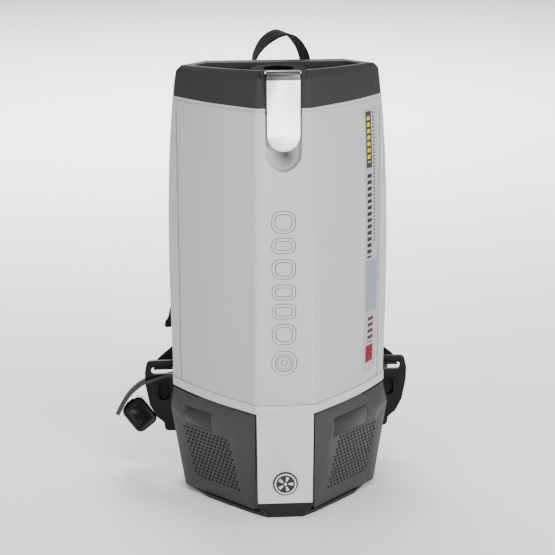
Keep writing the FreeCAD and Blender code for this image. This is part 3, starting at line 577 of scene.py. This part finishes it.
TILT = (0, 0.965, -0.262)
KEEPER = [((-137, 58.2, 136.5), TILT), ((-152, 58.2, 134), TILT), ((-166, 58.2, 129.5), TILT),
          ((-176, 59.5, 125.5), TILT), ((-182, 66, 120.5), TILT)]
keeper = strap("belt_keeper", KEEPER, 8, 3.4, steps=48, ribs=3)
finish_piece(keeper, edge_tape, "pack")
print("lower straps, anchors and the belt's keeper")

# %% [markdown]
# ## Waist belts
# The belts are stiff laminated webbing with a bound edge on both sides. Each is laid along a path that bends
# where it leaves the pack.

# %% Belts that bend at their roots
BELT_WIDTH = 60
BINDING = 0.46   # where the bound edges lie, as a share of the belt's width from its middle
LEFT_BELT = [((-112, 96, 127), TILT), ((-137, 101, 124), TILT), ((-160, 101, 119), TILT),
             ((-180, 101, 113), TILT), ((-199, 101, 96), TILT), ((-214, 101, 70), TILT)]
UPRIGHT = (0, 0, 1)
RIGHT_BELT = [((108, 92, 105), UPRIGHT), ((128, 100, 105), UPRIGHT), ((150, 116, 105), UPRIGHT),
              ((157, 142, 105), UPRIGHT), ((138, 166, 105), UPRIGHT), ((108, 176, 105), UPRIGHT),
              ((80, 177, 105), UPRIGHT)]
for name, path, start, end in (("left", LEFT_BELT, (-0.125, 0.1, 0.125), (-0.158, 0.1, 0.12)),
                               ("right", RIGHT_BELT, (0.118, 0.096, 0.105), (0.148, 0.115, 0.105))):
    belt = strap("belt_" + name, path, BELT_WIDTH, 4.6, steps=90, ribs=10, crown=0.0004)
    belt.data.materials.clear()
    belt.data.materials.append(belt_fabric)
    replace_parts(belt, "waist_belt_" + name)
    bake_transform(belt)
    for v in (-BINDING, BINDING):
        moved = shifted(path, v * BELT_WIDTH)
        edge = strap("belt_edge_%s_%s" % (name, "front" if v < 0 else "rear"), moved, 5.6, 6.0, ribs=2)
        edge.data.materials.clear()
        edge.data.materials.append(edge_tape)
        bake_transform(edge)
print("belts bend at their roots")

# %% [markdown]
# ## Padded pieces
# The shoulder pads and the pads on the backplate are foam in a woven cover. The backplate's pads start as
# small blocks and the shoulder pads as thick straps; each is remeshed into even cells and is blown up as
# cloth with a little pressure.
# No point may move further than a cap, and the backplate's pads may not sink into the plate behind them.

# %% Blowing up a pad
CELL = 0.005        # size of the even cells that a pad is remeshed into
SWELL = 0.005       # no point of a pad moves further than this
PRESSURE = 4.0
CLOTH_STEPS = 20


def puffed(piece, wall=None):
    """Blows the piece up as cloth and keeps it in front of the wall."""
    modify(piece, "REMESH", mode="VOXEL", voxel_size=CELL)
    start = [v.co.copy() for v in piece.data.vertices]
    only(piece)
    cloth = piece.modifiers.new("cloth", "CLOTH")
    cloth.settings.use_pressure = True
    cloth.settings.uniform_pressure_force = PRESSURE
    cloth.settings.effector_weights.gravity = 0
    for number in range(1, CLOTH_STEPS + 1):
        bpy.context.scene.frame_set(number)
    bpy.ops.object.modifier_apply(modifier="cloth")
    bpy.context.scene.frame_set(1)
    for vertex, home in zip(piece.data.vertices, start):
        move = vertex.co - home
        if move.length > SWELL:
            vertex.co = home + move.normalized() * SWELL
    if wall is not None:
        for vertex in piece.data.vertices:
            vertex.co.y = max(vertex.co.y, wall)
    modify(piece, "SUBSURF", levels=1)
    only(piece)
    bpy.ops.object.shade_smooth()
    return piece


SHOULDER_WIDTH = 54
SHOULDER_THICK = 9
SEAM_WIDTH = 17
SEAM_THICK = 15.5
SHOULDER = [((42, 82, 462), (1, 0.1, 0)), ((60, 106, 440), (1, 0.15, 0)), ((80, 130, 395), (1, 0.2, 0.3)),
            ((98, 140, 330), (0.9, -0.2, 0.35)), ((105, 134, 270), (0.9, -0.35, 0.2)),
            ((112, 123, 228), (0.9, -0.4, 0.1)), ((124, 110, 188), (0.9, -0.4, -0.1))]
for name, side in (("right", 1), ("left", -1)):
    pad = strap("shoulder_cushion_" + name, flipped(SHOULDER, side), SHOULDER_WIDTH, SHOULDER_THICK, steps=60,
                ribs=8, crown=0.002)
    puffed(pad)
    finish_piece(pad, pad_fabric, "pack")
    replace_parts(pad, "shoulder_pad_" + name)
    seam = strap("shoulder_seam_" + name, flipped(SHOULDER, side), SEAM_WIDTH, SEAM_THICK, steps=60, ribs=2)
    finish_piece(seam, webbing_black, "pack")


PAD_MARGIN = 0.004    # the blocks start this much smaller on each side
PAD_THINNER = 0.007   # this much thinner
PAD_GAP = 0.002       # and this far from the backplate


def block_pad(name, node, radius):
    """A block with rounded corners inside the node's box, blown up against the backplate."""
    low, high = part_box(node)
    bpy.ops.object.select_all(action="DESELECT")
    bpy.ops.mesh.primitive_plane_add(size=1)
    pad = bpy.context.object
    pad.name = name
    width, height = (high[axis] - low[axis] - 2 * PAD_MARGIN for axis in (0, 2))
    depth = high.y - low.y - PAD_THINNER
    edit(pad, lambda: bpy.ops.transform.resize(value=(width, height, 1)),
         lambda: bpy.ops.mesh.bevel(offset=radius, segments=8, affect="VERTICES"),
         lambda: bpy.ops.mesh.extrude_region_move(TRANSFORM_OT_translate={"value": (0, 0, depth)}),
         lambda: bpy.ops.mesh.select_all(action="SELECT"),
         lambda: bpy.ops.mesh.normals_make_consistent(inside=False))
    middle = (low + high) / 2
    pad.rotation_euler = (math.radians(-90), 0, 0)
    pad.location = (middle.x, low.y + PAD_GAP, middle.z)
    settle(pad)
    puffed(pad, wall=low.y)
    finish_piece(pad, pad_fabric, "pack")
    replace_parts(pad, node)
    return pad


for name, node, radius, fill in (("back_cushion", "back_pad", 0.022, 0.7),
                                 ("lumbar_cushion", "lumbar_pad", 0.024, 0.8)):
    pad = block_pad(name, node, radius)
    print(name, [round(v * 1000) for v in pad.dimensions])

# %% [markdown]
# ## Raised ornament on the front facet
# The front facet carries a column of raised outlines: plain rings and rounded frames without meaning.
# Each is a plane with rounded corners whose middle is cut away, raised by two millimetres.
# A slightly wider, darker frame lies under each one, shifted right and down as a painted shadow, so that its
# edges read clearly on the grey wall.

# %% The ornament
FACET_RUN = 10.0 / 368.5   # the front facet leans back by this much for each millimetre of height
FACET_FOOT = (-122, 152)   # Y and Z of its lower end
ORNAMENT_X = -1
LEAN = math.atan(FACET_RUN)


def raised_outline(width, height, stroke, x, z, round_by, rise=2.1):
    """A rounded frame, in millimetres, that lies on the front facet and stands out by the rise."""
    bpy.ops.object.select_all(action="DESELECT")
    bpy.ops.mesh.primitive_plane_add(size=1)
    piece = bpy.context.object
    edit(piece, lambda: bpy.ops.transform.resize(value=(width / 1000, height / 1000, 1)),
         lambda: bpy.ops.mesh.bevel(offset=round_by / 1000, segments=10, affect="VERTICES"),
         lambda: bpy.ops.mesh.inset(thickness=stroke / 1000),
         lambda: bpy.ops.mesh.delete(type="FACE"),
         lambda: bpy.ops.mesh.select_all(action="SELECT"),
         lambda: bpy.ops.mesh.extrude_region_move(TRANSFORM_OT_translate={"value": (0, 0, rise / 1000)}))
    modify(piece, "BEVEL", width=0.0004, segments=2, limit_method="ANGLE", angle_limit=math.radians(50))
    piece.rotation_euler = (math.pi / 2 - LEAN, 0, 0)
    facet_y = FACET_FOOT[0] + FACET_RUN * (z - FACET_FOOT[1])
    piece.location = (x / 1000, (facet_y + 0.2) / 1000, z / 1000)
    return settle(piece)


RING_Z = 207
RINGS = ((30, 3.4), (15, 3.0))   # diameter and stroke of the two rings at the foot of the column
FRAMES = ((243, 25), (272, 18), (296, 18), (325, 24), (354, 18), (383, 26))   # Z and height of the frames
FRAME_WIDTH = 28
FRAME_STROKE = 3.2
CORNER = 0.42                    # a frame's corner radius, as a share of its height
outlines = [raised_outline(across, across, stroke, ORNAMENT_X, RING_Z, across / 2 - 0.1)
            for across, stroke in RINGS]
for z, height in FRAMES:
    outlines.append(raised_outline(FRAME_WIDTH, height, FRAME_STROKE, ORNAMENT_X, z, height * CORNER))
only(*outlines)
bpy.ops.object.join()
relief = bpy.context.object
relief.name = "facet_relief"
finish_piece(relief, canister_grey, "pack")

# The darker frames below are painted shadow: each is wider, flatter and shifted right and down from its
# outline.
SPREAD = 1.4    # a groove is this much wider than its outline
SHIFT = 0.3     # and lies this much to the right and down
SHADOW_RISE = 0.5
shadow_x = ORNAMENT_X + SHIFT
shadow_frames = [raised_outline(across + SPREAD, across + SPREAD, stroke + SPREAD, shadow_x, RING_Z - SHIFT,
                          across / 2 + 0.6, SHADOW_RISE) for across, stroke in RINGS]
for z, height in FRAMES:
    shadow_frames.append(raised_outline(FRAME_WIDTH + SPREAD, height + SPREAD, FRAME_STROKE + SPREAD, shadow_x,
                                  z - SHIFT, height * CORNER + SPREAD / 2, SHADOW_RISE))
only(*shadow_frames)
bpy.ops.object.join()
shadow_frame = bpy.context.object
shadow_frame.name = "facet_painted_shadows"
finish_piece(shadow_frame, painted_shadow_grey, "pack")
print("relief", [round(v * 1000) for v in relief.dimensions])

# %% [markdown]
# ## The printed strip and the badge
# A thin film lies on the right slanted side. It is drawn with plain bars and blocks instead of print.
# The film is a grid laid near the wall and wrapped onto it, a third of a millimetre proud.

# %% Film, print and badge
def inside(value, low, high):
    return (value > low) * (value < high)


film = Finish("printed_film", Roughness=0.5, Specular_IOR_Level=0.15)
film_uv = film.node("ShaderNodeTexCoord", out="UV")
across, up = film.split(film_uv)[:2]
colour = tone(0.33, -0.05)
beads = inside(up.maths("MULTIPLY", 42.0).maths("FRACT"), 0.2, 0.8)
dashes = inside(up.maths("MULTIPLY", 75.0).maths("FRACT"), 0.25, 0.8)
PRINT = [
    (inside(up, 0.23, 0.43) * inside(across, 0.08, 0.92), (0.21, 0.235, 0.275, 1)),
    (inside(up, 0.78, 0.99) * inside(across, 0.08, 0.5), (0.03, 0.03, 0.033, 1)),
    (inside(up, 0.8, 0.975) * inside(across, 0.17, 0.4) * beads, (0.62, 0.4, 0.0, 1)),
    (inside(up, 0.44, 0.76) * inside(across, 0.12, 0.46) * beads, (0.012, 0.012, 0.015, 1)),
    (inside(up, 0.5, 0.99) * inside(across, 0.58, 0.74) * dashes, (0.1, 0.1, 0.13, 1)),
    (inside(up, 0.11, 0.22) * inside(across, 0.25, 0.7) * beads, (0.06, 0.015, 0.02, 1)),
    (inside(up, 0.035, 0.1) * inside(across, 0.12, 0.72), (0.16, 0.0, 0.006, 1)),
]
for mask, ink in PRINT:
    colour = film.mix(mask, colour, ink)
film.set(Base_Color=colour)

FILM_FOOT = Vector((119, -52, 166))
FILM_ACROSS = Vector((18, 27, 0))
FILM_UP = Vector((0, 0, 341))
bpy.ops.object.select_all(action="DESELECT")
bpy.ops.mesh.primitive_grid_add(x_subdivisions=10, y_subdivisions=80, size=1)
strip = bpy.context.object
strip.name = "side_film"
for vertex in strip.data.vertices:
    u, v = vertex.co.x + 0.5, vertex.co.y + 0.5
    vertex.co = (FILM_FOOT + FILM_ACROSS * u + FILM_UP * v) / 1000
modify(strip, "SHRINKWRAP", target=canister, wrap_method="NEAREST_SURFACEPOINT", wrap_mode="ABOVE_SURFACE",
       offset=0.0003)
settle(strip)
finish_piece(strip, film.material, "pack")

BADGE_Z = 0.048   # height of the badge's middle
badge = Finish("badge_mark", Roughness=0.2)
badge_place = badge.node("ShaderNodeTexCoord", out="Object")
side_x, badge_z = badge.split(badge_place)[::2]
rise_z = badge_z - BADGE_Z
radius = (side_x * side_x + rise_z * rise_z).maths("SQRT")
petals = (rise_z.maths("ARCTAN2", side_x) * 5.0).maths("COSINE") > 0.45
mark = petals * inside(radius, 0.0035, 0.0095) + inside(radius, 0.0118, 0.0136) + (radius < 0.0018)
badge.set(Base_Color=badge.mix(mark, tone(0.006), tone(0.5)))
softened("front_badge", badge.material, 0.0006)
print("film and badge")

# %% [markdown]
# ## The pale ring in the cap's recess, a painted reflection
# Either side of the hose cuff a pale ring is painted on the recess floor as a painted reflection of the
# bright surroundings. It lies round the hose port.

# %% Recess ring
PORT = (0, -0.022, 0.55045)   # the hose port's axis, at the recess floor
RING_RADIUS = 0.0443
RING_WIDTH = 0.0076
bpy.ops.object.select_all(action="DESELECT")
bpy.ops.mesh.primitive_cylinder_add(vertices=96, radius=RING_RADIUS, depth=0.0006, location=PORT)
ring = bpy.context.object
ring.name = "recess_reflection_ring"
edit(ring, lambda: bpy.ops.mesh.select_mode(type="FACE"), lambda: bpy.ops.mesh.select_all(action="DESELECT"))
for face in ring.data.polygons:
    face.select = abs(face.normal.z) > 0.9
only(ring)
bpy.ops.object.mode_set(mode="EDIT")
bpy.ops.mesh.inset(thickness=RING_WIDTH)
bpy.ops.mesh.bridge_edge_loops()
bpy.ops.object.mode_set(mode="OBJECT")
# A pale, glossy plastic whose colour is a painted reflection of the bright surroundings.
painted_reflection_pale = moulded("painted_reflection_pale", 0.85, 0.25, drift=0.02)
finish_piece(settle(ring), painted_reflection_pale, "cap")
print("recess ring", [round(v * 1000, 1) for v in ring.dimensions])
